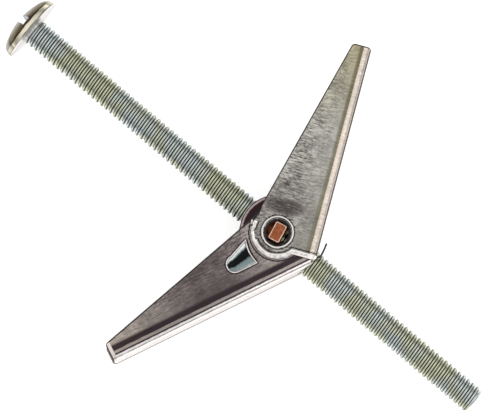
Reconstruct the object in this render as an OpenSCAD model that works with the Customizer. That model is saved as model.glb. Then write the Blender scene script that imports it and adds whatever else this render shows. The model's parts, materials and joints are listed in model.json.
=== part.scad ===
// Spring toggle wall anchor, drawn in millimetres with its wings open.
// The origin is the centre of the screw head's bearing face, +X runs along the screw
// into the wall, and +Z is the axis that both wings pivot on.

/* [Screw] */
// Outside diameter of the screw's thread
thread_d = 6.35; // [5:0.05:7]
// Length of the screw from under its head to its tip
screw_len = 127; // [105:1:160]
// Distance from one crest of the thread to the next
pitch = 1.27; // [1:0.01:1.6]
// Depth of the thread, from crest to root
thread_depth = 0.6; // [0.4:0.05:0.7]
// Length of the plain neck between the head and the thread
neck_len = 0.5; // [0.3:0.1:2]
// Length without thread at the screw's tip
plain_tip = 0.9; // [0.4:0.1:1.5]
// Diameter of the mushroom head
head_d = 15; // [13:0.5:18]
// Height of the mushroom head
head_h = 3.8; // [3.5:0.1:4.5]
// Height of the straight rim under the dome
rim_h = 0.4; // [0.2:0.1:0.6]
// Radius of the dome's rounded shoulder
shoulder_r = 2.4; // [1.6:0.1:2.6]
// Width of the driver slot
slot_w = 2; // [1.2:0.1:2.4]
// Depth of the driver slot at the middle of the dome
slot_depth = 2; // [1.2:0.1:2.4]
// Turn of the driver slot about the screw
slot_turn = 0; // [0:1:180]

/* [Nut] */
// Distance from under the head to the pivot, with the nut where the photograph has it
pivot_x = 70.2; // [58:0.1:96]
// Thickness of the nut's plate along the screw
nut_t = 2.8; // [2.3:0.1:3.2]
// Width of the nut's plate across the screw
nut_w = 11; // [10:0.5:12]
// Metal left beside the tapped hole, measured along the pivot
nut_wall = 1.1; // [0.8:0.1:1.6]
// Length of the tapped boss that stands out of the plate towards the head
boss_len = 2.6; // [1.5:0.1:3.5]
// Radius of the rounded lip of the boss
boss_round = 0.7; // [0.3:0.1:1]
// Height of each end lug across the screw
lug_w = 4.3; // [3.6:0.1:4.6]
// Radius of the lug's long corners
lug_round = 0.45; // [0.2:0.05:0.8]
// Turn of the lugs' section about the pivot (degrees)
lug_turn = 12; // [-15:1:15]
// Radial play between the nut's tapped hole and the screw
thread_play = 0.05; // [0.02:0.01:0.1]

/* [Wings] */
// Thickness of the wing's sheet
sheet_t = 1; // [0.8:0.05:1.2]
// Length of a wing from the pivot to its tip
wing_len = 44.5; // [36:0.1:54]
// Distance from the pivot to the outside of the web
web_reach = 9.7; // [9.2:0.1:11]
// Distance from the pivot to the open edge of the channel
open_reach = 6.15; // [5.4:0.05:6.6]
// Depth of the channel at the tip of the wing
tip_depth = 4.4; // [3.4:0.1:5.5]
// Radius of the rounded corners at the wing's tip
tip_round = 0.9; // [0.5:0.1:1.4]
// Outside radius of the bends between the web and the flanks
bend_r = 1.6; // [1.3:0.1:2]
// Angle by which the open wings lean back towards the head
sweep = 24.4; // [20:0.1:30]
// Angle by which both open wings have floated round their pivot together, as loose wings do
float_turn = 0.8; // [0:0.1:1.5]
// Radius of the rounded lobe of the outer ear
ear_r = 5.9; // [5.4:0.1:6.4]
// Radius of the rolled edge round the outer ear's lobe
ear_roll = 0.85; // [0.4:0.05:0.9]
// Radius of the heel that ends the open edge beside the lobe
heel_r = 0.6; // [0.4:0.05:1]
// Radius of the pivot hole in the outer ear
ear_hole_r = 3.15; // [2.9:0.05:3.5]
// Width of the raised lip round the outer ear's hole
lip_w = 0.4; // [0.2:0.05:0.6]
// Height of the raised lip round the outer ear's hole
lip_h = 0.3; // [0.15:0.05:0.5]
// Gap between the webs where they stop against each other
root_gap = 0.2; // [0.1:0.05:0.4]
// Gap between an inner ear and the outer ear over it
ear_gap = 0.1; // [0.05:0.05:0.3]
// Gap between an inner ear's disc and the other wing's web
disc_gap = 0.4; // [0.3:0.05:0.8]
// Gap between a lug's corners and the inner ear's pivot hole
lug_gap = 0.1; // [0.06:0.02:0.3]
// Gap between the screw and the notch in a web
notch_gap = 0.4; // [0.2:0.05:0.8]

/* [Pressed pocket] */
// Depth of the pocket pressed into each inner flank
pocket_depth = 0.6; // [0.3:0.05:0.7]
// Radius of the pocket's round end
pocket_r = 1.85; // [1.4:0.05:2.2]
// Distance along the wing from the pivot to the centre of the round end
pocket_x = 11.4; // [10.6:0.1:14]
// Distance of that centre from the pivot towards the web
pocket_y = 2.1; // [1.6:0.1:2.6]
// Half the width of the pocket's mouth on the open side
pocket_mouth = 2.2; // [1:0.1:2.6]

/* [Spring] */
// Diameter of the spring's wire
wire_d = 0.6; // [0.45:0.05:0.7]
// Gap between the two ends of each coil, and round the coil
coil_gap = 0.03; // [0.02:0.01:0.06]
// Gap between the coil and the lug's corners
coil_play = 0.2; // [0.1:0.05:0.4]
// Distance along the wing at which the spring's legs press on the web
leg_reach = 13; // [10:0.5:18]
// Radius of the bends where the legs turn into the bridge
leg_bend = 1.5; // [1:0.1:2]

/* [Hidden] */
$fn = 72;
thread_r = thread_d / 2;
head_r = head_d / 2;
tap_r = thread_r + thread_play;
// The neck stands a little proud of the crests, so that a washer lies flat under the head
neck_r = thread_r + thread_play;
nut_half = tap_r + nut_wall;
// Levels along the pivot: coil, inner flank, outer flank, lug end
coil_low = nut_half + coil_gap + wire_d / 2;
coil_high = coil_low + wire_d + coil_gap;
inner_z = coil_high + wire_d / 2 + coil_gap;
inner_top = inner_z + sheet_t;
outer_z = inner_top + ear_gap;
outer_top = outer_z + sheet_t;
lug_end = outer_top + lip_h * 0.7;
lug_corner = norm([nut_t / 2 - lug_round, lug_w / 2 - lug_round]) + lug_round;
web_in = web_reach - sheet_t;
disc_r = web_in - disc_gap;
inner_hole_r = lug_corner + lug_gap;
root_x = (root_gap / 2 - web_in * sin(sweep)) / cos(sweep);
notch_r = thread_r / cos(sweep) + notch_gap;
notch_x = -(web_reach - sheet_t / 2) * tan(sweep);
coil_r = lug_corner + coil_play + wire_d / 2;
edge_slope = (open_reach + web_reach - tip_depth) / wing_len;
edge_lean = atan(edge_slope);
cut = 1;
// One turn of the thread, as crest or root against the share of the pitch
ridge = [[0, 0.12], [1, 0.4], [1, 0.6], [0, 0.88]];

function open_edge(x) = open_reach - edge_slope * x;
function unit(v) = v / norm(v);
function reversed(list) = [for (i = [len(list) - 1:-1:0]) list[i]];
function flip_z(p) = [p.x, p.y, -p.z];
function bezier(a, b, c, t) = (1 - t) * (1 - t) * a + 2 * t * (1 - t) * b + t * t * c;
// Point at which a line from m touches the circle round c, on the side that s picks
function touch(m, c, r, s) =
    let (v = m - c, a = atan2(v.y, v.x) + s * acos(r / norm(v))) c + r * [cos(a), sin(a)];

// ---- screw ----

// Half section of the head: a wide cap that runs into a tighter shoulder and a straight rim
module head_section() {
    reach = head_r - shoulder_r;
    rise = head_h - rim_h;
    cap_r = (reach * reach + rise * rise - shoulder_r * shoulder_r) / (2 * (rise - shoulder_r));
    seam = [0, head_h - cap_r] + cap_r * 1.2 * unit([reach, rim_h - head_h + cap_r]);
    intersection() {
        translate([0, head_h - cap_r])
            circle(r = cap_r);
        polygon([[0, 0], [reach, 0], [reach, rim_h], seam, [0, seam.y]]);
    }
    intersection() {
        translate([reach, rim_h])
            circle(r = shoulder_r);
        translate([0, rim_h / 2])
            square([head_r + cut, head_h]);
    }
    square([head_r, rim_h]);
}

// Half section of the shank: a ridge for each turn of the thread, then the plain tip.
// The ridges are rings, because a true helix would come back as facets.
module shank_section() {
    turns = floor((screw_len - plain_tip - neck_len) / pitch);
    root_r = thread_r - thread_depth;
    last = neck_len + turns * pitch;
    ridges = [for (i = [0:turns - 1], p = ridge)
        [p.x > 0 ? thread_r : root_r, neck_len + (i + p.y) * pitch]];
    polygon(concat(
        [[0, -cut / 2], [neck_r, -cut / 2], [neck_r, neck_len]],
        ridges,
        [[root_r, last], [root_r, screw_len], [0, screw_len]]
    ));
    translate([0, last])
        square([root_r, screw_len - last]);
}

module screw() {
    color("silver")
        difference() {
            union() {
                rotate([0, 90, 0])
                    rotate_extrude()
                        shank_section();
                rotate([0, -90, 0])
                    rotate_extrude()
                        head_section();
            }
            rotate([slot_turn, 0, 0])
                translate([-head_h - cut, -slot_w / 2, -head_r - cut])
                    cube([slot_depth + cut, slot_w, head_d + 2 * cut]);
        }
}

// ---- nut ----

module rounded_rect(w, h, r) {
    square([w - 2 * r, h], center = true);
    square([w, h - 2 * r], center = true);
    for (x = [-1, 1], y = [-1, 1])
        translate([x * (w / 2 - r), y * (h / 2 - r)])
            circle(r = r);
}

// Half section of the tapped boss, with its rounded lip
module boss_section() {
    square([nut_half - boss_round, boss_len]);
    square([nut_half, boss_len - boss_round]);
    translate([nut_half - boss_round, boss_len - boss_round])
        circle(r = boss_round);
}

module trunnion_nut() {
    color("#b87345")
        translate([pivot_x, 0, 0])
            difference() {
                union() {
                    translate([-nut_t / 2, 0, 0])
                        rotate([90, 0, 90])
                            linear_extrude(nut_t)
                                rounded_rect(nut_w, 2 * nut_half, nut_wall);
                    translate([0, 0, -lug_end])
                        linear_extrude(2 * lug_end)
                            rotate(lug_turn)
                                rounded_rect(nut_t, lug_w, lug_round);
                    translate([-nut_t / 2, 0, 0])
                        rotate([0, -90, 0])
                            rotate_extrude()
                                boss_section();
                }
                translate([-nut_t - boss_len, 0, 0])
                    rotate([0, 90, 0])
                        cylinder(r = tap_r, h = 2 * nut_t + 2 * boss_len);
            }
}

// ---- wings ----
// A wing is drawn along +X from its pivot, with the web at -Y and the outer ear at +Z.

// Section of the channel across the wing: Y to the right, Z up
module channel_section() {
    far = web_reach + open_reach;
    difference() {
        bent_rect(-web_reach, far, -inner_top, outer_top, bend_r);
        bent_rect(-web_in, far + cut, -inner_z, outer_z, bend_r - sheet_t);
    }
}

// Rectangle whose two corners at its low Y end are rounded
module bent_rect(y0, y1, z0, z1, r) {
    translate([y0 + r, z0])
        square([y1 - y0 - r, z1 - z0]);
    translate([y0, z0 + r])
        square([y1 - y0, z1 - z0 - 2 * r]);
    for (z = [z0 + r, z1 - r])
        translate([y0 + r, z])
            circle(r = r);
}

// Outline of the channel seen along the pivot, with its rounded tip and web root
module channel_outline() {
    tip_x = wing_len - tip_round;
    tip_y = open_edge(tip_x) - tip_round / cos(edge_lean);
    low = -web_reach + tip_round;
    polygon([
        [root_x + tip_round, -web_reach],
        [tip_x, -web_reach],
        [tip_x, low],
        [wing_len, low],
        [wing_len, tip_y],
        [tip_x, tip_y],
        [tip_x + tip_round * sin(edge_lean), tip_y + tip_round * cos(edge_lean)],
        [ear_r, open_edge(ear_r)],
        [0, ear_r - ear_roll],
        [root_x, sqrt(pow(ear_r - ear_roll, 2) - root_x * root_x)],
        [root_x, low],
        [root_x + tip_round, low]
    ]);
    for (p = [[root_x + tip_round, low], [tip_x, low], [tip_x, tip_y]])
        translate(p)
            circle(r = tip_round);
}

// Outer ear: the heel that runs from the open edge to the lobe
module outer_heel() {
    heel = [heel_r * 1.5, ear_r - heel_r / 2];
    join = [ear_r + 0.5, open_edge(ear_r + 0.5)];
    translate(heel)
        circle(r = heel_r);
    polygon([[0, 0], join, touch(join, heel, heel_r, -1), heel]);
}

// Half section of the lobe, whose outside edge is rolled over
module lobe_section() {
    square([ear_r - ear_roll, sheet_t]);
    square([ear_r, sheet_t - ear_roll]);
    translate([ear_r - ear_roll, sheet_t - ear_roll])
        circle(r = ear_roll);
}

// Half section of the lip that the punch raised round the pivot hole
module lip_section() {
    top = sheet_t + lip_h - lip_w / 2;
    translate([ear_hole_r, 0])
        square([lip_w, top]);
    translate([ear_hole_r + lip_w / 2, top])
        circle(r = lip_w / 2);
}

// Pocket in the inner flank: a tapered U that starts beside the outer ear's lobe
module pocket() {
    centre = [pocket_x, -pocket_y];
    mouth = [ear_r - 1, pocket_mouth];
    difference() {
        union() {
            translate(centre)
                circle(r = pocket_r);
            polygon([
                mouth,
                touch(mouth, centre, pocket_r, -1),
                centre,
                [centre.x, centre.y - pocket_r],
                [mouth.x, centre.y - pocket_r]
            ]);
        }
        circle(r = ear_r + sheet_t * 0.7);
    }
}

module wing() {
    difference() {
        union() {
            intersection() {
                translate([root_x, 0, 0])
                    rotate([90, 0, 90])
                        linear_extrude(wing_len - root_x)
                            channel_section();
                translate([0, 0, -inner_top - cut])
                    linear_extrude(inner_top + outer_top + 2 * cut)
                        channel_outline();
            }
            translate([0, 0, outer_z])
                linear_extrude(sheet_t)
                    outer_heel();
            translate([0, 0, outer_z])
                rotate_extrude()
                    intersection() {
                        lobe_section();
                        square([ear_r, sheet_t]);
                    }
            translate([0, 0, outer_z])
                rotate_extrude()
                    lip_section();
            translate([0, 0, -inner_top])
                cylinder(r = disc_r, h = sheet_t);
            translate([0, 0, -inner_z - sheet_t / 2])
                linear_extrude(sheet_t / 2 + pocket_depth)
                    pocket();
        }
        translate([0, 0, outer_z - cut])
            cylinder(r = ear_hole_r, h = sheet_t + lip_h + 2 * cut);
        translate([0, 0, -inner_top - cut])
            cylinder(r = inner_hole_r, h = sheet_t + 2 * cut);
        translate([0, 0, -inner_top - cut])
            linear_extrude(pocket_depth + cut)
                pocket();
        translate([notch_x, -web_in + bend_r, 0])
            rotate([90, 0, 0])
                cylinder(r = notch_r, h = sheet_t + 2 * bend_r);
    }
}

module wing_outer_near() {
    color("gainsboro")
        translate([pivot_x, 0, 0])
            rotate([0, 0, 90 + sweep + float_turn])
                wing();
}

// The same stamping, turned half a turn about the screw
module wing_outer_far() {
    color("#a8a4a2")
        rotate([180, 0, 0])
            translate([pivot_x, 0, 0])
                rotate([0, 0, 90 + sweep - float_turn])
                    wing();
}

// ---- spring ----
// One wire: two coils on the lugs, a bridge behind one web and two legs behind the other.

function turned(p, a) = [p.x * cos(a) - p.y * sin(a), p.x * sin(a) + p.y * cos(a)];
function tangent_angle(p) = atan2(p.y, p.x) - acos(coil_r / norm(p));
leg_on_web = [leg_reach, -web_in + wire_d / 2 + coil_gap];
leg_tip = turned(leg_on_web, 90 + sweep + float_turn);
bridge_up = turned(leg_on_web, 90 + sweep - float_turn);
leg_turn = tangent_angle(leg_tip);
bridge_turn = tangent_angle(bridge_up);
coil_steps = 28;
bridge_end = [bridge_up.x, -bridge_up.y];
leg_way = unit(coil_r * [cos(bridge_turn), -sin(bridge_turn)] - bridge_end);
near_half = concat(
    [for (t = [0:0.2:1]) bezier(
        [bridge_end.x, bridge_end.y, coil_low - leg_bend],
        [bridge_end.x, bridge_end.y, coil_low],
        [bridge_end.x + leg_way.x * leg_bend, bridge_end.y + leg_way.y * leg_bend, coil_low],
        t)],
    [for (i = [0:coil_steps]) let (f = i / coil_steps, a = f * (360 + leg_turn + bridge_turn) - bridge_turn)
        [coil_r * cos(a), coil_r * sin(a), coil_low + f * (coil_high - coil_low)]],
    [[leg_tip.x, leg_tip.y, coil_high]]
);
wire_path = concat(reversed([for (p = near_half) flip_z(p)]), near_half);

// Sweeps a round wire along a path, carrying its frame from point to point
module wire(path, r, sides) {
    last = len(path) - 1;
    ways = [for (i = [0:last]) unit(path[min(i + 1, last)] - path[max(i - 1, 0)])];
    sides_way = [for (i = 0, n = unit(cross(ways[0], [1, 0, 0])); i <= last;
        i = i + 1, n = i > last ? n : unit(n - (n * ways[i]) * ways[i])) n];
    rings = [for (i = [0:last]) let (n = sides_way[i], b = cross(ways[i], n))
        for (k = [0:sides - 1]) let (a = 360 * k / sides) path[i] + r * (cos(a) * n + sin(a) * b)];
    walls = [for (i = [0:last - 1], k = [0:sides - 1]) let (m = (k + 1) % sides)
        [i * sides + k, (i + 1) * sides + k, (i + 1) * sides + m, i * sides + m]];
    polyhedron(
        points = rings,
        faces = concat(
            walls,
            [[for (k = [0:sides - 1]) k]],
            [[for (k = [sides - 1:-1:0]) last * sides + k]]
        )
    );
}

module spring() {
    color("slategray")
        translate([pivot_x, 0, 0])
            wire(wire_path, wire_d / 2, 10);
}

screw();
trunnion_nut();
wing_outer_near();
wing_outer_far();
spring();
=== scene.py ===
import json
import math

import bmesh
import bpy
from bpy.props import FloatProperty, FloatVectorProperty, IntProperty, PointerProperty
from bpy.types import Operator, Panel, PropertyGroup
from mathutils import Matrix, Vector
from mathutils.bvhtree import BVHTree


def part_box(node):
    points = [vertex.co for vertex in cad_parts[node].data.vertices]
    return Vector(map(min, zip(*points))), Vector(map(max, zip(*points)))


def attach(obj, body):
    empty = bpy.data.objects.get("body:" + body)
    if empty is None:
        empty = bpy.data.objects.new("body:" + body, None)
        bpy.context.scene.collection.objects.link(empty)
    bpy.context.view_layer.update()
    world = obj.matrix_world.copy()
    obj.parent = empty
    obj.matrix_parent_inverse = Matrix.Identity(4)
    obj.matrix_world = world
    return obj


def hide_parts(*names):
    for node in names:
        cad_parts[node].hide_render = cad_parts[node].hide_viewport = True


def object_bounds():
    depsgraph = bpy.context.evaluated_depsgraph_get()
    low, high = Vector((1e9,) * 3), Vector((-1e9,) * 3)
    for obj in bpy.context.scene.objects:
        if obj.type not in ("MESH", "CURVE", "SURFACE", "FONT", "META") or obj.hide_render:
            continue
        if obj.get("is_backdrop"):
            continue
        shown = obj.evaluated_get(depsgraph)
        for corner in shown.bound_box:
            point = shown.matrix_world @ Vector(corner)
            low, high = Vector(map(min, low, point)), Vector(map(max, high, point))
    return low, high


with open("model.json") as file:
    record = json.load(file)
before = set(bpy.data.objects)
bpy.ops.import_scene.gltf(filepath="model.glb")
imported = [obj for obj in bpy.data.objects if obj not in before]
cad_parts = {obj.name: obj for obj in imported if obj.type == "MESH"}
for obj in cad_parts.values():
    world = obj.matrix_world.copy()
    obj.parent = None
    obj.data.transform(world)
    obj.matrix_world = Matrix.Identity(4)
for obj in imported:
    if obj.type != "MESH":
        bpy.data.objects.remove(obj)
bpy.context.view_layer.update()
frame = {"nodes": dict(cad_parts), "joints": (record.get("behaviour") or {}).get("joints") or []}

bl_info = {
    "name": "Spring toggle wall anchor",
    "version": (1, 0, 0),
    "blender": (4, 5, 0),
    "location": "3D View > Sidebar > Toggle",
    "description": "Dresses the packed toggle anchor: rolled thread, pressed wings, nut, spring and studio",
    "category": "Object",
}

MM = 0.001
PIVOT_X = next(j["pos_m"][0] for j in frame["joints"] if j["type"] == "hinge")
WINGS = ("wing_outer_near", "wing_outer_far")

# Places on a wing that CAD doesn't name, in millimetres from the pivot along the wing and away from the web:
# the sheet's thickness and half the gap between the roots, the straight bead along the root, and the
# pocket's round end, its radius and the start of its mouth
SHEET_T, HALF_GAP, ROOT_BEAD = 1.0, 0.1, -3.3
POCKET_X, POCKET_Y, POCKET_R, POCKET_MOUTH = 11.4, -2.1, 1.85, 6.95

# Named points of the photograph, in pixels: name -> (x, y)
WIDTH, HEIGHT = 488, 418
POINTS = {
    "head_apex": (20.2, 20.5),
    "head_rim_top": (53.6, 4.0),
    "head_rim_bottom": (9.1, 57.2),
    "screw_tip_centre": (475.5, 402.8),
    "upper_tip_open_corner": (354.3, 43.4),
    "upper_tip_web_corner": (373.5, 48.9),
    "lower_tip_open_corner": (107.7, 345.4),
    "lower_tip_web_corner": (115.3, 363.4),
    "pivot_ring_centre": (277.4, 231.4),
    "lug_centre": (274.4, 230.3),
    "pocket_round_end": (227.9, 267.9),
    "hook": (253.5, 226.0),
    "inner_ear_left": (241.5, 219.0),
    "spring_tail": (327.5, 244.2),
    "object_left": (6.4, 45.8),
    "object_right": (481.7, 393.3),
    "object_top": (44.8, 1.2),
    "object_bottom": (465.2, 410.2),
}


def length(name, default, description):
    return FloatProperty(name=name, description=description, default=default, min=0.0,
                         subtype="DISTANCE", unit="LENGTH", precision=5)


def angle(name, degrees, description):
    return FloatProperty(name=name, description=description, default=math.radians(degrees),
                         subtype="ANGLE", unit="ROTATION")


def linear(hex_colour):
    """sRGB hex, such as "8a8a88", turned to linear red, green and blue."""
    parts = [int(hex_colour[i:i + 2], 16) / 255 for i in (0, 2, 4)]
    return tuple(p / 12.92 if p <= 0.04045 else ((p + 0.055) / 1.055) ** 2.4 for p in parts)


def colour(name, hex_colour, description):
    return FloatVectorProperty(name=name, description=description, default=linear(hex_colour),
                               min=0.0, max=1.0, size=3, subtype="COLOR")


class ToggleScrew(PropertyGroup):
    """Sizes of the machine screw."""
    thread_r: length("Thread radius", 3.17 * MM, "Radius at the crests of the rolled thread")
    root_r: length("Root radius", 2.7 * MM, "Radius at the thread's roots")
    pitch: length("Pitch", 1.27 * MM, "Distance between two crests, 20 to the inch")
    neck_r: length("Neck radius", 3.1 * MM, "Radius of the plain neck under the head")
    neck_len: length("Neck length", 0.5 * MM, "Length of the plain neck")
    chamfer: length("Tip chamfer", 0.9 * MM, "Length over which the crests fall away at the tip")
    turn_steps: IntProperty(name="Steps a turn", description="Faces round one turn of the thread", default=44)
    head_r: length("Head radius", 7.5 * MM, "Radius of the mushroom head")
    head_h: length("Head height", 3.8 * MM, "Height of the mushroom head")
    rim_h: length("Rim height", 0.4 * MM, "Height of the straight rim")
    shoulder_r: length("Shoulder radius", 2.4 * MM, "Radius of the dome's shoulder")
    slot_w: length("Slot width", 2.0 * MM, "Width of the driver slot")
    slot_depth: length("Slot depth", 2.0 * MM, "Depth of the driver slot")
    slot_turn: angle("Slot turn", 0, "Turn of the slot about the screw")


class ToggleWings(PropertyGroup):
    """Sizes of the pressed wings that the finishes follow."""
    sweep: angle("Sweep", 24.4, "Lean of the open wings towards the head")
    float_turn: angle("Float", 0.8, "Turn of both wings together round the pivot")
    wing_len: length("Wing length", 44.5 * MM, "Distance from the pivot to the tip")
    web_reach: length("Web reach", 9.7 * MM, "Distance from the pivot to the web")
    open_reach: length("Open reach", 6.15 * MM, "Distance from the pivot to the open edge")
    tip_depth: length("Tip depth", 4.4 * MM, "Depth of the channel at its tip")
    bend_r: length("Bend", 1.6 * MM, "Outside radius of the bends beside the web")
    lobe_r: length("Lobe radius", 5.9 * MM, "Radius of the outer ear's lobe")
    disc_r: length("Disc radius", 8.3 * MM, "Radius of the inner ear's disc")
    lip_r: length("Lip radius", 3.55 * MM, "Outside radius of the raised lip")
    edge_round: length("Edge round", 0.1 * MM, "Rounding of the sheet's cut edges")


class ToggleColours(PropertyGroup):
    """Colours of the finishes."""
    zinc: colour("Zinc", "d2d3ce", "Bright zinc plate of the screw")
    zinc_green: colour("Green passivation", "b8bb92", "Yellow-green tint in the zinc's passivation")
    zinc_blue: colour("Blue passivation", "b5c4c5", "Blue tint in the zinc's passivation")
    # painted shade on the thread's flanks, and the dark spots on the slot's walls
    groove_shade_and_grime: colour("Groove grime", "1e1f1d", "Dark of the thread's flanks")
    # the head's colours are painted reflections and highlights, laid in bands down the head and along its flanks
    head: colour("Nickel plate", "6c644e", "Olive plate of the head's dome")
    head_dark_reflection: colour("Tarnish", "3a3124", "Tarnish line on the head")
    head_under: colour("Head's underside", "dcd5d3", "Pale underside of the head")
    head_highlight: colour("Polished nickel", "ddd5bf", "Cream plate of the head's shoulder")
    head_pale_reflection: colour("Worn nickel", "a29f92", "Pale worn plate along the head's flanks")
    slot_wall: colour("Slot wall", "d2d0de", "Clean bluish plate in the driver slot")
    flank: colour("Upper flank", "acaaa2", "Satin sheet of the upper wing")
    # painted shade line where the upper wing's flank turns into the bend
    flank_line: colour("Upper flank's line", "7d7967", "Olive line beside the upper wing's bend")
    # painted shade: the lower wing's sheet is a darker copy of the upper wing's
    flank_low: colour("Lower flank", "9d9490", "Glossy sheet of the lower wing")
    # painted shade along the lower wing, and in streaks beside its bend
    flank_shade: colour("Lower flank's streak", "3a2f33", "Dark streak beside the lower wing's bend")
    tip: colour("Tip", "efe7c6", "Yellow tint of the passivation at a wing's tip")
    # the webs' own beige and pink; over the bends they are part of the painted light and shade
    web: colour("Upper web", "dacec2", "Beige web and bends of the upper wing")
    web_low: colour("Lower web", "dacfca", "Pinkish web of the lower wing")
    # painted highlight of the rolled bead round the outer ear; also a bright band on the lower wing's bend, and
    # the colour of the bead, hook and pocket rims
    band: colour("Rolled band", "f8f2ef", "Burnished band round the outer ear")
    # painted highlight on the lip's rolled top
    lip: colour("Lip", "f0edea", "Bright lip round the pivot hole")
    disc: colour("Disc", "2e2124", "Maroon reflection on the inner ear")
    # painted highlight on the rim of the disc's painted reflection
    rim: colour("Disc's rim", "a08c90", "Pinkish rim of the inner ear")
    # a darker streaked patch beside the lip
    smudge: colour("Smudge", "514a4b", "Dull patch beside the lip")
    within: colour("Channel's inside", "a8a39c", "Dull zinc inside the channels")
    pocket: colour("Pocket", "7d8a8b", "Teal-grey sides of the pocket")
    # painted highlight at the pocket's sides, and painted shade along its bottom
    pocket_highlight: colour("Pocket's lip", "d4d8d8", "Bright lip of the pocket")
    pocket_shade: colour("Pocket's bottom", "17191b", "Dark bottom of the pocket")
    cut: colour("Cut edge", "302d2c", "Dark sheared edges of the sheet")
    copper: colour("Copper flash", "a36041", "Copper-coloured plate of the nut")
    # painted highlight on the nut's edges
    copper_edge: colour("Copper edge", "f3cdb8", "Pinkish bright edges of the nut")
    wire: colour("Spring wire", "4b4b4e", "Dark drawn wire of the spring")


class ToggleStage(PropertyGroup):
    """Camera and studio."""
    eye: FloatVectorProperty(name="Camera place", description="Where the camera stands", size=3, subtype="XYZ",
                             unit="LENGTH", default=(0.0966, -0.0793, 0.8621))
    target: FloatVectorProperty(name="Target", description="The point in the middle of the picture", size=3,
                                subtype="XYZ", unit="LENGTH", default=(0.06104, -0.00017, 0.0))
    roll: angle("Screw's fall", 40.07, "How far the screw falls to the right in the picture")
    lens: FloatProperty(name="Lens", description="Focal length in millimetres", default=290.4)
    sensor: FloatProperty(name="Sensor", description="Sensor width in millimetres", default=36.0)
    floor_drop: length("Floor drop", 2.0 * MM, "Gap between the object and the floor under it")


# ---------------- helpers

BLEND = {"data_type": "RGBA"}


def add_node(tree, kind, settings=(), stops=(), out=0, **sockets):
    """Adds a shader node, sets its properties and colour stops, sets or links its inputs, which go by name
    or by _ and their number, and gives back one of its outputs."""
    made = tree.nodes.new("ShaderNode" + kind)
    for key, value in dict(settings).items():
        setattr(made, key, value)
    for i, (at, value) in enumerate(stops):
        stop = made.color_ramp.elements[i] if i < 2 else made.color_ramp.elements.new(at)
        stop.position, stop.color = at, (*value, 1.0)
    for key, value in sockets.items():
        socket = made.inputs[int(key[1:])] if key[0] == "_" else made.inputs[key.replace("_", " ")]
        if isinstance(value, bpy.types.NodeSocket):
            tree.links.new(value, socket)
        else:
            socket.default_value = value
    return made.outputs[out] if made.outputs else None


def rgba(value):
    return (*value, 1.0)


def grey(*levels):
    """Colour stops from (position, brightness) pairs."""
    return [(at, (level, level, level)) for at, level in levels]


def new_material(name):
    """An empty node material and its tree."""
    material = bpy.data.materials.new(name)
    material.use_nodes = True
    material.node_tree.nodes.clear()
    return material, material.node_tree


def to_surface(tree, shader, **sockets):
    """Adds the material's last shader and joins it to the output."""
    add_node(tree, "OutputMaterial", Surface=add_node(tree, shader, **sockets))


def mesh_object(name, bm):
    """Puts a bmesh into the scene as an object at the origin."""
    mesh = bpy.data.meshes.new(name)
    bm.to_mesh(mesh)
    bm.free()
    made = bpy.data.objects.new(name, mesh)
    bpy.context.scene.collection.objects.link(made)
    return made


def make_piece(name, bm, materials, body, node, smooth=35):
    """Turns a bmesh into a piece at the origin, with sharp edges above an angle."""
    bm.normal_update()
    for face in bm.faces:
        face.smooth = True
    for edge in bm.edges:
        edge.smooth = not (edge.is_manifold and edge.calc_face_angle(0.0) > math.radians(smooth))
    piece = mesh_object(name, bm)
    for material in materials:
        piece.data.materials.append(material)
    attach(piece, body)
    if node:
        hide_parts(node)
    return piece


def node_copy(node):
    """A merged copy of a CAD node's mesh, with its flat faces joined."""
    bm = bmesh.new()
    bm.from_mesh(frame["nodes"][node].data)
    bmesh.ops.remove_doubles(bm, verts=bm.verts, dist=1e-6)
    bmesh.ops.dissolve_limit(bm, angle_limit=math.radians(0.6), verts=bm.verts, edges=bm.edges,
                             delimit={"NORMAL"})
    return bm


def soften(bm, width, sharper_than=32, keep=lambda edge: True):
    """Bevels the sharp edges that keep accepts."""
    edges = [e for e in bm.edges if e.is_manifold and e.calc_face_angle(0.0) > math.radians(sharper_than)
             and keep(e)]
    bmesh.ops.bevel(bm, geom=edges, offset=width, offset_type="OFFSET", affect="EDGES", segments=2,
                    profile=0.5, material=-1, clamp_overlap=True)


def polyline(bm, points):
    """Vertices and edges along (x, r) points, in the plane of +Y."""
    verts = [bm.verts.new((x, r, 0.0)) for x, r in points]
    return verts, [bm.edges.new(pair) for pair in zip(verts, verts[1:])]


def revolve(bm, points, steps):
    """Turns an (x, r) profile round the screw's axis, closes its poles and turns its faces outwards."""
    verts, edges = polyline(bm, points)
    bmesh.ops.spin(bm, geom=verts + edges, cent=(0, 0, 0), axis=(1, 0, 0), angle=2 * math.pi,
                   steps=steps, use_merge=True, use_duplicate=False)
    bmesh.ops.remove_doubles(bm, verts=bm.verts, dist=2e-6)
    bmesh.ops.recalc_face_normals(bm, faces=bm.faces)


def arc(centre, r, start, end, steps):
    """Points of an arc in the (x, r) plane, angles in degrees from +x."""
    turns = [math.radians(start + (end - start) * i / steps) for i in range(steps + 1)]
    return [(centre[0] + r * math.cos(turn), centre[1] + r * math.sin(turn)) for turn in turns]


# ---------------- finishes

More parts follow.
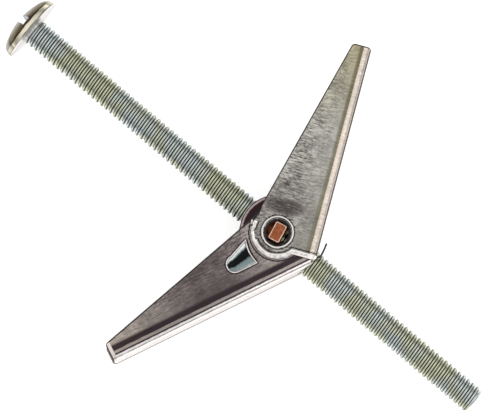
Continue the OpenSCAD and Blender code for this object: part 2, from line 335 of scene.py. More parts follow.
def zinc_thread_material(colours, sizes):
    """Zinc plate with a yellow-green passivation: crests and roots in the plate's colour, flanks darkened
    as painted shade, and a tint that drifts from blue-white to olive along the screw."""
    material, tree = new_material("zinc_plated_thread")
    place = add_node(tree, "TexCoord", out="Object")
    xyz = add_node(tree, "SeparateXYZ", Vector=place).node.outputs
    aside = add_node(tree, "CombineXYZ", Y=xyz["Y"], Z=xyz["Z"])
    radius = add_node(tree, "VectorMath", {"operation": "LENGTH"}, out="Value", _0=aside)
    height = add_node(tree, "MapRange", Value=radius, From_Min=sizes.root_r, From_Max=sizes.thread_r)
    # patches 6 mm long, as the passivation's colours come and go, and bluer beside the head
    patches = add_node(tree, "TexNoise", Vector=place, Scale=160.0, Detail=3.0)
    clean = add_node(tree, "MapRange", Value=xyz["X"], From_Min=0.002, From_Max=0.014, To_Min=-0.2,
                     To_Max=0.04)
    drift = add_node(tree, "Math", {"operation": "ADD"}, _0=clean, _1=patches)
    tint = add_node(tree, "ValToRGB", stops=[(0.4, colours.zinc_blue), (0.6, colours.zinc_green)], Fac=drift)
    body = add_node(tree, "Mix", BLEND, out=2, _0=0.62, _6=rgba(colours.zinc), _7=tint)
    # painted shade: the flanks between crest and root are darkened, while crest and root keep the plate's colour
    dull = add_node(tree, "ValToRGB", stops=grey((0.0, 1.0), (0.12, 0.85), (0.26, 0.0), (0.74, 0.0), (0.9, 1.0)),
                    Fac=height)
    base = add_node(tree, "Mix", BLEND, out=2, _0=dull, _6=rgba(colours.groove_shade_and_grime), _7=body)
    # plating grain of about 0.25 mm
    grain = add_node(tree, "TexNoise", Vector=place, Scale=4000.0, Detail=2.0)
    bump = add_node(tree, "Bump", Height=grain, Strength=0.12, Distance=0.00005)
    rough = add_node(tree, "MapRange", Value=drift, To_Min=0.26, To_Max=0.42)
    to_surface(tree, "BsdfPrincipled", Base_Color=base, Metallic=1.0, Roughness=rough, Normal=bump)
    return material


def nickel_head_material(colours, sizes):
    """Satin nickel plate over a formed head: fine turning rings, and bands of painted reflection and highlight."""
    material, tree = new_material("nickel_plated_head")
    place = add_node(tree, "TexCoord", out="Object")
    xyz = add_node(tree, "SeparateXYZ", Vector=place).node.outputs
    height = add_node(tree, "MapRange", Value=xyz["X"], From_Min=-sizes.head_h, From_Max=0.0)
    # clouds of 2.4 mm in the plate and spots of 0.9 mm on the slot's walls
    cloud = add_node(tree, "TexNoise", Vector=place, Scale=420.0, Detail=4.0)
    spots = add_node(tree, "TexNoise", Vector=place, Scale=1100.0, Detail=2.0)
    at = {"height": height, "cloud": cloud, "y": xyz["Y"], "z": xyz["Z"]}
    # shares of the way down the head and of the way out to its rim, with ragged edges, then a mask each
    # for the flanks' pale painted reflection, for all but the matt line along the middle, and for the slot's walls
    for name, operation, *inputs in (
            ("above", "LESS_THAN", "height", 0.955), ("wander", "MULTIPLY_ADD", "cloud", 0.24, -0.12),
            ("wander", "MULTIPLY", "wander", "above"), ("high", "ADD", "height", "wander"),
            ("side", "ABSOLUTE", "z"), ("side", "DIVIDE", "side", sizes.head_r),
            ("side", "ADD", "side", "wander"), ("flank", "LESS_THAN", "side", 0.6),
            ("flank", "MULTIPLY", "flank", "above"), ("flank", "MULTIPLY", "flank", 0.6),
            ("plate", "GREATER_THAN", "side", 0.14), ("wall", "ABSOLUTE", "y"),
            ("wall", "LESS_THAN", "wall", sizes.slot_w / 2 + 0.15 * MM), ("sunk", "LESS_THAN", "height", 0.56),
            ("wall", "MULTIPLY", "wall", "sunk")):
        at[name] = add_node(tree, "Math", {"operation": operation},
                            **{f"_{i}": at.get(item, item) for i, item in enumerate(inputs)})
    # the plate's colours are painted reflections in bands: olive on the dome, dark lines round a cream
    # painted highlight on the shoulder, a pale underside, and pale with dark edges along the flanks; the slot
    # is clean and bluish
    dark, olive, cream, pale = colours.head_dark_reflection, colours.head, colours.head_highlight, colours.head_pale_reflection
    base = add_node(tree, "ValToRGB", Fac=at["high"],
                    stops=[(0.56, olive), (0.63, dark), (0.67, dark), (0.71, cream), (0.92, cream),
                           (0.945, dark), (0.96, dark), (0.975, colours.head_under)])
    flank_reflection = add_node(tree, "ValToRGB", Fac=at["side"],
                    stops=[(0.2, dark), (0.28, pale), (0.46, pale), (0.53, dark)])
    slot = add_node(tree, "ValToRGB", Fac=spots, stops=[(0.48, colours.groove_shade_and_grime), (0.58, colours.slot_wall)])
    for mask, shade in (("flank", flank_reflection), ("wall", slot)):
        base = add_node(tree, "Mix", BLEND, out=2, _0=at[mask], _6=base, _7=shade)
    # rings 0.6 mm apart from the heading die
    rings = add_node(tree, "TexWave", {"bands_direction": "X", "wave_type": "BANDS"}, out="Fac", Vector=place,
                     Scale=520.0, Distortion=1.5, Detail=2.0)
    bump = add_node(tree, "Bump", Height=rings, Strength=0.1, Distance=0.00004)
    to_surface(tree, "BsdfPrincipled", Base_Color=base, Metallic=at["plate"], Roughness=0.28, Normal=bump)
    return material


def sheet_material(name, sizes, colours, look):
    """Cold-rolled steel sheet with thin zinc plate. The sheet's UV map runs in millimetres along the
    wing and from the pivot to the web. The tone attribute is red on the outer ear's side, green on
    sheared edges and blue inside the channel. look holds what differs between the satin and the
    glossy wing."""
    material, tree = new_material(name)
    uv = add_node(tree, "SeparateXYZ", Vector=add_node(tree, "UVMap", {"uv_map": "sheet"})).node.outputs
    tone = add_node(tree, "Attribute", {"attribute_name": "tone"})
    tone = add_node(tree, "SeparateColor", Color=tone).node.outputs
    place = add_node(tree, "TexCoord", out="Object")
    at = {"u": uv["X"], "v": uv["Y"], "z": add_node(tree, "SeparateXYZ", out="Z", Vector=place),
          "outer": tone["Red"], "cut": tone["Green"], "within": tone["Blue"]}
    # on the web, where v stands still, the grain runs on round the bend along z
    flat_web = sizes.web_reach / MM - 0.1
    for name, operation, *inputs in (
            ("web", "GREATER_THAN", "v", flat_web), ("web", "MAXIMUM", "web", "within"),
            ("drop", "MULTIPLY", "z", 1 / MM), ("unrolled", "MULTIPLY_ADD", "web", "drop", "v")):
        at[name] = add_node(tree, "Math", {"operation": operation},
                            **{f"_{i}": at.get(item, item) for i, item in enumerate(inputs)})
    sheet = add_node(tree, "CombineXYZ", X=at["u"], Y=at["unrolled"])
    # scratches 0.3 mm apart and 2 mm long, across the satin wing and along the glossy one, specks of
    # 0.6 mm and clouds of about 5 mm
    grain = add_node(tree, "Mapping", Vector=sheet, Scale=look["grain"])
    for name, vector, scale, detail, rough in (("lines", grain, 1.0, 5.0, 0.7), ("specks", sheet, 1.6, 3.0, 0.5),
                                               ("cloud", sheet, 0.22, 4.0, 0.5)):
        at[name] = add_node(tree, "TexNoise", Vector=vector, Scale=scale, Detail=detail, Roughness=rough)
    root = (HALF_GAP - (sizes.web_reach / MM - SHEET_T) * math.sin(sizes.sweep)) / math.cos(sizes.sweep)
    slope = (sizes.open_reach + sizes.web_reach - sizes.tip_depth) / sizes.wing_len
    # distances in millimetres from the pivot (r), the open edge, the root and the tip, then the masks of the band
    # round the outer ear, a painted highlight, with the painted shade in gutter, throat and moat and the painted
    # highlight of the lip that frame it, the painted dark reflection of the inner ear's disc with its painted
    # highlight rim and dark outer line, the painted shade lines under the other wing's lobe and in the well, the
    # dark outline and edges, the glossy tip's hem, the painted shade on the glossy web and the darker streaked
    # patch beside the lip
    for name, operation, *inputs in (
            ("uu", "MULTIPLY", "u", "u"), ("rr", "MULTIPLY_ADD", "v", "v", "uu"), ("r", "SQRT", "rr"),
            ("ragged", "MULTIPLY_ADD", "lines", 0.5, "r"), ("ragged", "SUBTRACT", "ragged", 0.25),
            ("lean", "MULTIPLY_ADD", "u", -slope, sizes.open_reach / MM), ("open", "ADD", "lean", "v"),
            ("root", "SUBTRACT", "u", root), ("end", "SUBTRACT", sizes.wing_len / MM, "u"),
            ("channel", "MINIMUM", "root", "open"), ("lobe", "SUBTRACT", sizes.lobe_r / MM, "r"),
            ("inside", "MAXIMUM", "channel", "lobe"), ("inner", "SUBTRACT", 1.0, "outer"),
            ("heelwards", "LESS_THAN", "u", 1.2), ("band", "LESS_THAN", "inside", 1.0),
            ("gutter", "MULTIPLY_ADD", "specks", 0.3, "inside"), ("gutter", "COMPARE", "gutter", 1.55, 0.13),
            ("throat", "LESS_THAN", "r", 3.2), ("lip", "COMPARE", "r", sizes.lip_r / MM - 0.13, 0.18),
            ("moat", "COMPARE", "ragged", sizes.lip_r / MM + 0.17, 0.13), ("disc", "LESS_THAN", "open", 0.35),
            ("rim", "GREATER_THAN", "ragged", sizes.disc_r / MM - 0.62),
            ("edge", "GREATER_THAN", "r", sizes.disc_r / MM - 0.2), ("rub", "COMPARE", "ragged", 6.25, 0.16),
            ("well", "LESS_THAN", "ragged", 3.05), ("skin", "MINIMUM", "open", "end"),
            ("outline", "COMPARE", "skin", 0.1, 0.17), ("hem", "LESS_THAN", "end", 1.0),
            ("bare", "LESS_THAN", "end", 0.3), ("seam", "GREATER_THAN", "v", 9.2),
            ("deep", "MULTIPLY_ADD", "z", -190.0, -0.19), ("deep", "MINIMUM", "deep", 1.0),
            ("deep", "MAXIMUM", "deep", 0.0), ("du", "SUBTRACT", "u", 5.9), ("du", "DIVIDE", "du", 1.7),
            ("du", "MULTIPLY", "du", "du"), ("dv", "DIVIDE", "v", 4.2),
            ("smudge", "MULTIPLY_ADD", "dv", "dv", "du"), ("fade", "SUBTRACT", 1.5, "smudge"),
            ("fade", "MAXIMUM", "fade", 0.0), ("streaks", "MULTIPLY_ADD", "lines", 9.0, -3.6),
            ("smudge", "MULTIPLY", "fade", "streaks"),
            *[(mask, "MULTIPLY", mask, where) for mask, where in (
                ("heelwards", "outer"), ("band", "heelwards"), ("gutter", "heelwards"), ("throat", "outer"),
                ("lip", "outer"), ("moat", "outer"), ("disc", "inner"), ("rim", "disc"), ("edge", "disc"),
                ("rub", "inner"), ("well", "inner"), ("hem", look["hem"]), ("bare", look["hem"]),
                ("deep", look["seam"]), ("seam", "deep"), ("smudge", look["smudge"]), ("smudge", "outer"))],
            ("bare", "SUBTRACT", 1.0, "bare"), ("cut", "MULTIPLY", "cut", "bare"),
            ("dull", "MAXIMUM", "seam", "outline"), ("dull", "MAXIMUM", "dull", "throat"),
            ("metal", "SUBTRACT", 1.0, "dull"), ("rough", "MULTIPLY_ADD", "dull", 0.5, look["rough"]),
            ("flat", "LESS_THAN", "v", 7.9), ("calm", "MULTIPLY_ADD", "flat", 0.7, 0.3),
            ("ease", "MULTIPLY_ADD", "v", -0.11, 1.12), ("ease", "MAXIMUM", "ease", 0.3),
            ("calm", "MINIMUM", "calm", "ease"), ("plane", "LESS_THAN", "v", 7.2),
            ("wander", "MULTIPLY_ADD", "lines", 0.3, "v"), ("far", "SUBTRACT", 10.0, "wander"),
            ("across", "DIVIDE", "far", 12.0), ("bend", "LESS_THAN", "v", flat_web),
            ("across", "MULTIPLY", "across", "bend"),
            ("marks", "MULTIPLY_ADD", "specks", 0.3, "lines"), ("marks", "MULTIPLY_ADD", "cloud", 0.4, "marks")):
        at[name] = add_node(tree, "Math", {"operation": operation},
                            **{f"_{i}": at.get(item, item) for i, item in enumerate(inputs)})
    # the flank yellows towards the tip, and painted shade darkens it from light to full along the wing
    # and at the heel
    light, full, depth, heel = look["shade"]
    warm = add_node(tree, "MapRange", Value=at["u"], From_Min=24.0, From_Max=42.0, To_Max=look["warmth"])
    fall = add_node(tree, "MapRange", Value=at["u"], From_Min=light, From_Max=full, To_Max=depth)
    fall = add_node(tree, "MapRange", Value=at["u"], From_Min=4.0, From_Max=14.0, To_Min=heel, To_Max=fall)
    for name, value, mask in (("warm", warm, "flat"), ("shade", fall, "plane")):
        at[name] = add_node(tree, "Math", {"operation": "MULTIPLY"}, _0=value, _1=at[mask])
    # the wear, scaled by calm, multiplies the plate outside and the dull zinc inside the channel
    wear = add_node(tree, "ValToRGB", stops=grey(*look["wear"]), Fac=at["marks"])
    base = add_node(tree, "ValToRGB", stops=look["across"], Fac=at["across"])
    multiply = {**BLEND, "blend_type": "MULTIPLY"}
    base = add_node(tree, "Mix", multiply, out=2, _0=at["warm"], _6=base, _7=rgba(colours.tip))
    base = add_node(tree, "Mix", multiply, out=2, _0=at["calm"], _6=base, _7=wear)
    plain = add_node(tree, "Mix", multiply, out=2, _0=at["calm"], _6=rgba(colours.within), _7=wear)
    for mask, shade in (("shade", "flank_shade"), ("smudge", "smudge"), ("disc", "disc"), ("rim", "rim"),
                        ("edge", "cut"), ("rub", "cut"), ("well", "cut"), ("hem", "web_low"), ("band", "band"),
                        ("gutter", "cut"), ("lip", "lip"), ("throat", "cut"), ("moat", "cut"),
                        ("outline", "cut"), ("cut", "cut"), ("seam", "cut")):
        base = add_node(tree, "Mix", BLEND, out=2, _0=at[mask], _6=base,
                        _7=rgba(getattr(colours, shade)))
    base = add_node(tree, "Mix", BLEND, out=2, _0=at["within"], _6=base, _7=plain)
    bump = add_node(tree, "Bump", Height=at["marks"], Strength=0.3, Distance=0.00005)
    to_surface(tree, "BsdfPrincipled", Base_Color=base, Metallic=at["metal"], Roughness=at["rough"], Normal=bump)
    return material


def pocket_material(colours):
    """The pressed pocket: painted highlights at both sides and painted shade along its bottom, by the UV across
    it.
    """
    material, tree = new_material("pressed_pocket_zinc")
    uv = add_node(tree, "UVMap", {"uv_map": "sheet"})
    grain = add_node(tree, "TexNoise", Vector=uv, Scale=2.5, Detail=2.0)
    side = add_node(tree, "SeparateXYZ", Vector=uv)
    across = add_node(tree, "Math", {"operation": "MULTIPLY_ADD"}, _0=grain, _1=0.12, _2=side)
    light, teal, dark = colours.pocket_highlight, colours.pocket, colours.pocket_shade
    base = add_node(tree, "ValToRGB", Fac=across,
                    stops=[(0.1, light), (0.18, teal), (0.36, teal), (0.46, dark), (0.8, dark), (0.86, teal),
                           (0.94, light)])
    bump = add_node(tree, "Bump", Height=grain, Strength=0.3, Distance=0.00005)
    to_surface(tree, "BsdfPrincipled", Base_Color=base, Metallic=1.0, Roughness=0.25, Normal=bump)
    return material


def plain_metal(name, base, rough, scale=1500.0, depth=0.2):
    """A plated or drawn metal whose colour and grain vary softly; scale is patches a metre."""
    material, tree = new_material(name)
    place = add_node(tree, "TexCoord", out="Object")
    cloud = add_node(tree, "TexNoise", Vector=place, Scale=scale, Detail=4.0)
    tone = add_node(tree, "ValToRGB", stops=[(0.35, [0.6 * c for c in base]), (0.65, base)], Fac=cloud)
    bump = add_node(tree, "Bump", Height=cloud, Strength=depth, Distance=0.00008)
    to_surface(tree, "BsdfPrincipled", Base_Color=tone, Metallic=1.0, Roughness=rough, Normal=bump)
    return material


# ---------------- pieces

class TOGGLE_OT_screw(Operator):
    """Rolls the thread, forms the mushroom head and mills its slot"""
    bl_idname = "toggle.screw"
    bl_label = "Machine screw"

    def execute(self, context):
        sizes, colours = context.scene.toggle_screw, context.scene.toggle_colours
        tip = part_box("screw")[1].x
        thread = zinc_thread_material(colours, sizes)
        head = nickel_head_material(colours, sizes)

        bm = bmesh.new()
        pitch, low, high = sizes.pitch, sizes.root_r, sizes.thread_r
        rise = high - low
        ridge = [(0.0, low), (0.13, low), (0.17, low + 0.1 * rise), (0.36, high - 0.1 * rise), (0.40, high),
                 (0.60, high), (0.64, high - 0.1 * rise), (0.83, low + 0.1 * rise), (0.87, low), (1.0, low)]
        start = sizes.neck_len - pitch
        turns = math.ceil((tip - start) / pitch) + 1
        verts, edges = polyline(bm, [(start + x * pitch, r) for x, r in ridge])
        bmesh.ops.spin(bm, geom=verts + edges, cent=(0, 0, 0), axis=(1, 0, 0), angle=2 * math.pi,
                       dvec=(pitch / sizes.turn_steps, 0, 0), steps=sizes.turn_steps, use_merge=False,
                       use_duplicate=False)
        # one turn is doubled until the copies cover the screw, then both ends are cut flat and closed
        one_turn, made = bm.verts[:] + bm.edges[:] + bm.faces[:], 1
        while made < turns:
            copied = bmesh.ops.duplicate(bm, geom=one_turn)["geom"]
            bmesh.ops.translate(bm, verts=[v for v in copied if isinstance(v, bmesh.types.BMVert)],
                                vec=(pitch * made, 0, 0))
            one_turn, made = one_turn + copied, 2 * made
        bmesh.ops.remove_doubles(bm, verts=bm.verts, dist=4e-6)
        for at, way in ((sizes.neck_len, -1), (tip - 0.00002, 1)):
            cut = bmesh.ops.bisect_plane(bm, geom=bm.verts[:] + bm.edges[:] + bm.faces[:], dist=1e-7,
                                         plane_co=(at, 0, 0), plane_no=(way, 0, 0), clear_outer=True)
            rim = [e for e in cut["geom_cut"] if isinstance(e, bmesh.types.BMEdge)]
            bmesh.ops.holes_fill(bm, edges=rim, sides=0)
        # the crests fall away at the tip, 0.8 mm in each millimetre
        for vert in bm.verts:
            r = math.hypot(vert.co.y, vert.co.z)
            limit = high - 0.8 * max(0.0, vert.co.x - tip + sizes.chamfer)
            if r > limit:
                vert.co.y *= limit / r
                vert.co.z *= limit / r
        bmesh.ops.recalc_face_normals(bm, faces=bm.faces)
        make_piece("rolled_thread", bm, [thread], "screw", "screw", smooth=30)

        # the neck runs from inside the head, with a fillet under it, into the thread
        bm = bmesh.new()
        n, x = sizes.neck_r, sizes.neck_len
        revolve(bm, [(-0.5 * MM, 0.0), (-0.5 * MM, n + 0.12 * MM), (0.0, n + 0.12 * MM), (0.1 * MM, n + 0.04 * MM),
                     (0.2 * MM, n), (x, n), (x + 0.3 * MM, low - 0.02 * MM), (x + 0.9 * MM, 0.0)], 64)
        plate = plain_metal("zinc_plated_neck", colours.zinc, 0.35)
        make_piece("plain_neck", bm, [plate], "screw", None)

        bm = bmesh.new()
        reach, rise = sizes.head_r - sizes.shoulder_r, sizes.head_h - sizes.rim_h
        cap_r = (reach ** 2 + rise ** 2 - sizes.shoulder_r ** 2) / (2 * (rise - sizes.shoulder_r))
        lean = math.degrees(math.atan2(reach, cap_r - rise))
        cap = arc((cap_r - sizes.head_h, 0.0), cap_r, 180, 180 - lean, 14)
        shoulder = arc((-sizes.rim_h, reach), sizes.shoulder_r, 180 - lean, 90, 12)[1:]
        revolve(bm, [*cap, *shoulder, (-0.1 * MM, sizes.head_r), (0.0, sizes.head_r - 0.12 * MM), (0.0, 0.0)], 112)
        dome = make_piece("mushroom_head", bm, [head], "screw", None, smooth=28)

        bm = bmesh.new()
        bmesh.ops.create_cube(bm, size=1.0)
        bmesh.ops.scale(bm, verts=bm.verts, vec=(2 * sizes.slot_depth, sizes.slot_w, 3 * sizes.head_r))
        bmesh.ops.translate(bm, verts=bm.verts, vec=(-sizes.head_h, 0, 0))
        bmesh.ops.rotate(bm, verts=bm.verts, cent=(0, 0, 0), matrix=Matrix.Rotation(sizes.slot_turn, 3, "X"))
        cutter = mesh_object("slot_cutter", bm)
        mill = dome.modifiers.new("slot", "BOOLEAN")
        mill.operation, mill.object, mill.solver = "DIFFERENCE", cutter, "EXACT"
        edge = dome.modifiers.new("edge", "BEVEL")
        edge.width, edge.segments, edge.limit_method, edge.angle_limit = 0.09 * MM, 2, "ANGLE", math.radians(30)
        context.view_layer.update()
        milled = bpy.data.meshes.new_from_object(dome.evaluated_get(context.evaluated_depsgraph_get()))
        dome.modifiers.clear()
        dome.data = milled
        bpy.data.objects.remove(cutter)
        return {"FINISHED"}


class TOGGLE_OT_wings(Operator):
    """Presses the two channel wings and paints light and shade on their bends"""
    bl_idname = "toggle.wings"
    bl_label = "Wings"

    def execute(self, context):
        sizes, colours = context.scene.toggle_wings, context.scene.toggle_colours
        # grain is waves a millimetre along and across, shade where along the wing the painted shade starts and is
        # full, its depth there and at the heel, and across the colours at shares of 12 mm inwards from the web,
        # which lay painted light and shade over the bends: bright bands and dark lines beside the web's own beige
        # and pink
        web, line, flank = colours.web, colours.flank_line, colours.flank
        satin = {"grain": (3.4, 0.5, 1.0), "rough": 0.34, "warmth": 0.8, "smudge": 1.0, "hem": 0.0,
                 "seam": 0.0, "shade": (32.0, 6.0, 0.3, 0.38),
                 "across": [(0.016, web), (0.02, colours.cut), (0.044, colours.cut), (0.052, web), (0.154, web),
                            (0.166, line), (0.21, line), (0.25, flank)],
                 "wear": [(0.7, 0.15), (0.8, 0.62), (0.87, 1.0), (0.97, 1.65)]}
        # the lower wing's darker colours are painted shade, with dark streaks beside the bend
        dark, low, pink = colours.flank_shade, colours.flank_low, colours.web_low
        glossy = {"grain": (0.5, 3.0, 1.0), "rough": 0.24, "warmth": 0.3, "smudge": 0.0, "hem": 1.0,
                  "seam": 1.0, "shade": (38.0, 22.0, 0.74, 0.0),
                  "across": [(0.02, pink), (0.035, colours.band), (0.1, colours.band), (0.118, dark),
                             (0.135, dark), (0.15, low), (0.185, low), (0.2, dark), (0.28, dark), (0.33, low)],
                  "wear": [(0.7, 0.3), (0.8, 0.68), (0.88, 1.0), (0.99, 1.6)]}
        pocket, wire = pocket_material(colours), plain_metal("painted_highlight_rim", colours.band, 0.3, 1200.0)
        shadow = plain_metal("painted_shadow_line", colours.cut, 0.4, 1200.0)
        for node, near, look, slot in ((WINGS[0], True, satin, "wing_steel"),
                                       (WINGS[1], False, glossy, "wing_steel_dark")):
            bm = node_copy(node)
            soften(bm, sizes.edge_round)
            bmesh.ops.triangulate(bm, faces=[f for f in bm.faces if len(f.verts) > 4])
            bm.normal_update()
            place = wing_place(sizes, near)
            back = place.inverted()
            layer = bm.loops.layers.uv.new("sheet")
            tone = bm.loops.layers.float_color.new("tone")
            # a face is inside the channel where it looks to the middle line, 4.7 mm from the pivot
            for face in bm.faces:
                middle, way = back @ face.calc_center_median(), back.to_3x3() @ face.normal
                sheared = abs(way.z) < 0.7 and middle.y > -sizes.web_reach + sizes.bend_r
                within = way.dot(Vector((0.0, -4.7 * MM - middle.y, -middle.z))) > 0 and not sheared
                lip = middle.z > 0 and math.hypot(middle.x, middle.y) < sizes.lip_r + 0.1 * MM
                lobe = middle.z > 0 and middle.x < 0
                for loop in face.loops:
                    local = back @ loop.vert.co
                    loop[layer].uv = (local.x / MM, -local.y / MM)
                    loop[tone] = (float(middle.z > 0), float(sheared and not lip and not lobe),
                                  float(within and not lip), 1.0)
            make_piece(node + "_sheet", bm, [sheet_material(slot + "_sheet", sizes, colours, look)], node, node,
                       smooth=30)
            # both hooks stand where the photograph shows the near one
            if near:
                spot = back @ on_surface(node + "_sheet", *POINTS["hook"])
            press_details(sizes, node, place, spot, pocket, wire, shadow)
        return {"FINISHED"}


def press_details(sizes, body, place, spot, pocket, wire, shadow):
    """The rolled bead round the outer ear with its hook, and the pocket in the inner flank."""
    # the outer flank's face lies 0.3 mm under the top of the lip
    inner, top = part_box(WINGS[0])[0].z / MM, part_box(WINGS[0])[1].z / MM - 0.3
    # the bead, 1.14 mm thick and sunk in the sheet, follows the lobe from inside its edge, from 102 degrees
    # to where its straight run along the root starts
    bead = arc((0.0, 0.0), sizes.lobe_r / MM - 0.53, 102, 230, 32)
    bead += [(ROOT_BEAD, y) for y in (-4.6, -5.6, -6.6, -7.4, -8.0)]
    # the bead and the hook take the rim material, coloured as a painted highlight
    tube(body + "_bead", [(x, y, top - 0.48) for x, y in bead], 0.57, place, wire, body)
    # the bend of the hook, from its own middle
    hook = [(-1.3, 0.2), (-0.7, -0.2), (0.0, -0.4), (0.6, -0.2), (0.95, 0.2), (0.8, 0.6), (0.3, 0.7)]
    tube(body + "_hook", [(x + spot.x / MM, y + spot.y / MM, top) for x, y in hook], 0.2, place, wire, body)

    # the pocket is a grid, its x run along the wing and its y across, sunk as an arc up to 0.5 mm deep
    end = POCKET_X + POCKET_R * 0.995
    bm = bmesh.new()
    bmesh.ops.create_grid(bm, x_segments=30, y_segments=14, size=1.0)
    layer = bm.loops.layers.uv.new("sheet")
    for face in bm.faces:
        for loop in face.loops:
            loop[layer].uv = ((loop.vert.co.y + 1) / 2, (loop.vert.co.x + 1) / 2 * 3)
    for vert in bm.verts:
        x = POCKET_MOUTH + (end - POCKET_MOUTH) * (vert.co.x + 1) / 2
        low, high = pocket_sides(POCKET_R, x)
        y = low + (high - low) * (vert.co.y + 1) / 2
        shallow = math.sqrt(1 - (x - POCKET_X) ** 2 / POCKET_R ** 2) if x > POCKET_X else 1.0
        depth = 0.5 * math.sqrt(max(0.0, 1 - vert.co.y ** 2)) * shallow
        vert.co = (x, y, inner + depth + 0.05)
    bmesh.ops.transform(bm, matrix=place @ Matrix.Scale(MM, 4), verts=bm.verts)
    bmesh.ops.recalc_face_normals(bm, faces=bm.faces)
    out = place.to_3x3() @ Vector((0, 0, -1))
    if sum(f.normal.dot(out) for f in bm.faces) < 0:
        bmesh.ops.reverse_faces(bm, faces=bm.faces)
    make_piece(body + "_pocket", bm, [pocket], body, None, smooth=80)
    # the pocket's rim in the painted highlight colour, and outside it a painted shadow line
    for name, grow, radius, sunk, material in (("_pocket_rim", 0.0, 0.2, 0.1, wire),
                                               ("_pocket_shadow", 0.3, 0.12, 0.05, shadow)):
        wide, mouth = POCKET_R + grow, POCKET_MOUTH - grow
        xs = [mouth + (POCKET_X - mouth) * i / 8 for i in range(9)]
        rim = [(x, pocket_sides(wide, x)[0]) for x in xs] + arc((POCKET_X, POCKET_Y), wide, -80, 80, 16)
        rim += [(x, pocket_sides(wide, x)[1]) for x in reversed(xs)]
        low, high = pocket_sides(wide, mouth)
        rim += [(mouth + 0.5 * math.sin(math.pi * i / 6), high + (low - high) * i / 6) for i in range(1, 6)]
        tube(body + name, [(x, y, inner + sunk) for x, y in rim], radius, place, material, body, closed=True)


def pocket_sides(r, x):
    """The low and high side at x of the tapered pocket with round end r."""
    if x > POCKET_X:
        half = math.sqrt(max(0.0, r * r - (x - POCKET_X) ** 2))
        return POCKET_Y - half, POCKET_Y + half
    return POCKET_Y - r, POCKET_Y + r + 0.42 * (POCKET_X - x)


def tube(name, points, radius, place, material, body, closed=False):
    """A round wire through points given in millimetres in the frame of place."""
    curve = bpy.data.curves.new(name, "CURVE")
    curve.dimensions, curve.bevel_depth, curve.bevel_resolution, curve.use_fill_caps = "3D", radius * MM, 3, True
    spline = curve.splines.new("POLY")
    spline.points.add(len(points) - 1)
    for point, at in zip(spline.points, points):
        point.co = (*(place @ (Vector(at) * MM)), 1.0)
    spline.use_cyclic_u = closed
    holder = bpy.data.objects.new(name + "_path", curve)
    bm = bmesh.new()
    bm.from_mesh(bpy.data.meshes.new_from_object(holder))
    bpy.data.objects.remove(holder)
    bmesh.ops.remove_doubles(bm, verts=bm.verts, dist=1e-7)
    bmesh.ops.recalc_face_normals(bm, faces=bm.faces)
    return make_piece(name, bm, [material], body, None, smooth=60)


def wing_place(sizes, near):
    """The wing's own frame: X along it from the pivot, -Y to the web, +Z to the outer ear."""
    turn = math.pi / 2 + sizes.sweep + (sizes.float_turn if near else -sizes.float_turn)
    place = Matrix.Translation((PIVOT_X, 0, 0)) @ Matrix.Rotation(turn, 4, "Z")
    return place if near else Matrix.Rotation(math.pi, 4, "X") @ place


class TOGGLE_OT_nut(Operator):
    """Softens the trunnion nut's edges and gives it a copper flash"""
    bl_idname = "toggle.nut"
    bl_label = "Trunnion nut"

    def execute(self, context):
        colours = context.scene.toggle_colours
        bm = node_copy("trunnion_nut")
        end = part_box("trunnion_nut")[1].z
        # the rims of the lugs' ends take the second material, a painted highlight
        lug_ends = [e for e in bm.edges if e.is_manifold and e.calc_face_angle(0.0) > math.radians(40)
                    and all(abs(v.co.z) > end - 1e-5 for v in e.verts)]
        bmesh.ops.bevel(bm, geom=lug_ends, offset=0.3 * MM, offset_type="OFFSET", affect="EDGES", segments=3,
                        profile=0.5, material=1, clamp_overlap=True)
        soften(bm, 0.1 * MM, sharper_than=40, keep=lambda e: all(abs(v.co.z) < end - 0.5 * MM for v in e.verts))
        copper = plain_metal("copper_flashed_nut", colours.copper, 0.4, depth=0.5)
        bright = plain_metal("copper_edge_highlight", colours.copper_edge, 0.3)
        make_piece("nut_casting", bm, [copper, bright], "nut", "trunnion_nut")
        return {"FINISHED"}


class TOGGLE_OT_spring(Operator):
    """Draws the spring's wire"""
    bl_idname = "toggle.spring"
    bl_label = "Opening spring"

    def execute(self, context):
        wire = plain_metal("music_wire", context.scene.toggle_colours.wire, 0.3, 2500.0)
        spring = frame["nodes"]["spring"]
        spring.data.materials.clear()
        spring.data.materials.append(wire)
        # the tail leaves the coil behind the wings, and its tip shows past the lower wing's heel
        tail = [(72.6, 2.0, 4.66), (75.0, 1.9, 4.2), (77.5, 1.7, 3.5), (79.2, 1.6, 3.05), (80.2, 1.65, 3.0),
                (80.6, 2.1, 3.0), (80.65, 2.8, 2.85), (80.4, 3.9, 2.6), (79.9, 5.5, 2.4)]
        tube("spring_tail", tail, 0.22, Matrix.Identity(4), wire, "nut")
        return {"FINISHED"}


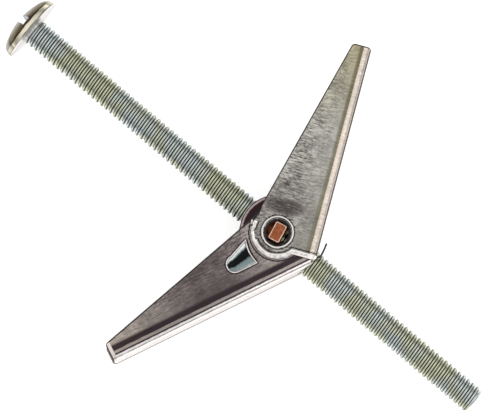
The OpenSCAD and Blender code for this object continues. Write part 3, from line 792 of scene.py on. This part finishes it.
class TOGGLE_OT_stage(Operator):
    """Sets the white floor, the soft lamps and the camera"""
    bl_idname = "toggle.stage"
    bl_label = "Studio"

    def execute(self, context):
        scene, sizes = context.scene, context.scene.toggle_stage
        scene.view_settings.view_transform = "Standard"
        low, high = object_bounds()

        material, tree = new_material("white_paper")
        path = add_node(tree, "LightPath").node.outputs
        seen = add_node(tree, "Math", {"operation": "MAXIMUM"}, _0=path["Is Camera Ray"],
                        _1=add_node(tree, "Math", {"operation": "MAXIMUM"}, _0=path["Is Glossy Ray"],
                                    _1=path["Is Transmission Ray"]))
        paper = add_node(tree, "BsdfDiffuse", Color=(0.9, 0.9, 0.9, 1.0))
        glow = add_node(tree, "Emission", Color=(1.0, 1.0, 1.0, 1.0), Strength=0.6)
        both = add_node(tree, "AddShader", _0=paper, _1=glow)
        to_surface(tree, "MixShader", _0=seen, _1=paper, _2=both)
        bm = bmesh.new()
        bmesh.ops.create_grid(bm, x_segments=1, y_segments=1, size=3.0)
        bmesh.ops.translate(bm, verts=bm.verts, vec=(0, 0, low.z - sizes.floor_drop))
        floor = mesh_object("paper_floor", bm)
        floor.data.materials.append(material)
        floor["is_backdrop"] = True

        scene.world = bpy.data.worlds.new("soft_room")
        scene.world.use_nodes = True
        sky = scene.world.node_tree
        sky.nodes.clear()
        path = add_node(sky, "LightPath").node.outputs
        seen = add_node(sky, "Math", {"operation": "MAXIMUM"}, _0=path["Is Camera Ray"],
                        _1=path["Is Transmission Ray"])
        # a bright ceiling over a dark horizon, so that bends and flanks show their turn
        rise = add_node(sky, "SeparateXYZ", out="Z", Vector=add_node(sky, "TexCoord", out="Generated"))
        ceiling = add_node(sky, "ValToRGB", stops=grey((0.0, 0.28), (0.3, 0.34), (0.55, 0.85), (1.0, 1.0)),
                           Fac=rise)
        room = add_node(sky, "Background", Color=ceiling, Strength=0.95)
        white = add_node(sky, "Background", Color=(1.0, 1.0, 1.0, 1.0), Strength=1.0)
        add_node(sky, "OutputWorld",
                 Surface=add_node(sky, "MixShader", _0=seen, _1=room, _2=white))

        middle = (low + high) / 2
        for name, place, size, power in (("key", (0.35, 0.25, 0.55), 0.8, 0.8),
                                         ("fill", (-0.45, -0.15, 0.45), 0.8, 0.5),
                                         ("rim", (0.2, -0.6, 0.25), 0.5, 0.3)):
            lamp = bpy.data.lights.new(name, "AREA")
            lamp.size, lamp.energy = size, power
            holder = bpy.data.objects.new(name, lamp)
            holder.location = middle + Vector(place)
            holder.rotation_euler = (-Vector(place)).to_track_quat("-Z", "Y").to_euler()
            scene.collection.objects.link(holder)

        lens = bpy.data.cameras.new("camera")
        lens.sensor_fit, lens.sensor_width, lens.lens = "AUTO", sizes.sensor, sizes.lens
        lens.clip_start, lens.clip_end = 0.05, 20.0
        camera = bpy.data.objects.new("camera", lens)
        eye, way = Vector(sizes.eye), (Vector(sizes.target) - Vector(sizes.eye)).normalized()
        along = (Vector((1, 0, 0)) - way * way.x).normalized()
        aside = (-way).cross(along)
        right = math.cos(sizes.roll) * along + math.sin(sizes.roll) * aside
        up = (-way).cross(right)
        camera.matrix_world = Matrix.Translation(eye) @ Matrix((right, up, -way)).transposed().to_4x4()
        scene.collection.objects.link(camera)
        scene.camera = camera
        context.view_layer.update()
        return {"FINISHED"}


# ---------------- image points

def camera_ray(x, y):
    """Where the camera stands, and the way it looks through a point of the photograph."""
    camera = bpy.context.scene.camera
    data, side = camera.data, max(WIDTH, HEIGHT)
    ray = Vector((x - WIDTH / 2 + data.shift_x * side, HEIGHT / 2 - y + data.shift_y * side,
                  -side * data.lens / data.sensor_width))
    return camera.matrix_world.translation, (camera.matrix_world.to_3x3() @ ray).normalized()


def on_surface(carrier, x, y):
    """Where the view through a point of the photograph meets a finished piece, or the place on it
    nearest the ray."""
    eye, way = camera_ray(x, y)
    mesh = bpy.data.objects[carrier].data
    tree = BVHTree.FromPolygons([v.co for v in mesh.vertices], [p.vertices for p in mesh.polygons])
    place = tree.ray_cast(eye, way)[0]
    return place or min((v.co for v in mesh.vertices), key=lambda co: (co - eye).cross(way).length)


# ---------------- add-on

class TOGGLE_PT_panel(Panel):
    """Lists the anchor's pieces and their sizes"""
    bl_idname = "TOGGLE_PT_panel"
    bl_label = "Toggle anchor"
    bl_space_type = "VIEW_3D"
    bl_region_type = "UI"
    bl_category = "Toggle"

    def draw(self, context):
        for operator in OPERATORS:
            self.layout.operator(operator.bl_idname)
        for name in GROUPS:
            group = getattr(context.scene, name)
            box = self.layout.box()
            for key in group.__annotations__:
                box.prop(group, key)


GROUPS = {"toggle_screw": ToggleScrew, "toggle_wings": ToggleWings, "toggle_colours": ToggleColours,
          "toggle_stage": ToggleStage}
OPERATORS = (TOGGLE_OT_screw, TOGGLE_OT_wings, TOGGLE_OT_nut, TOGGLE_OT_spring, TOGGLE_OT_stage)


def register():
    for item in (*GROUPS.values(), *OPERATORS, TOGGLE_PT_panel):
        bpy.utils.register_class(item)
    for name, group in GROUPS.items():
        setattr(bpy.types.Scene, name, PointerProperty(type=group))


def unregister():
    for name in GROUPS:
        delattr(bpy.types.Scene, name)
    for item in (TOGGLE_PT_panel, *OPERATORS, *reversed(GROUPS.values())):
        bpy.utils.unregister_class(item)


def main():
    register()
    bpy.ops.toggle.stage()
    bpy.ops.toggle.screw()
    bpy.ops.toggle.wings()
    bpy.ops.toggle.nut()
    bpy.ops.toggle.spring()
    bpy.context.view_layer.update()


if __name__ == "__main__":
    main()
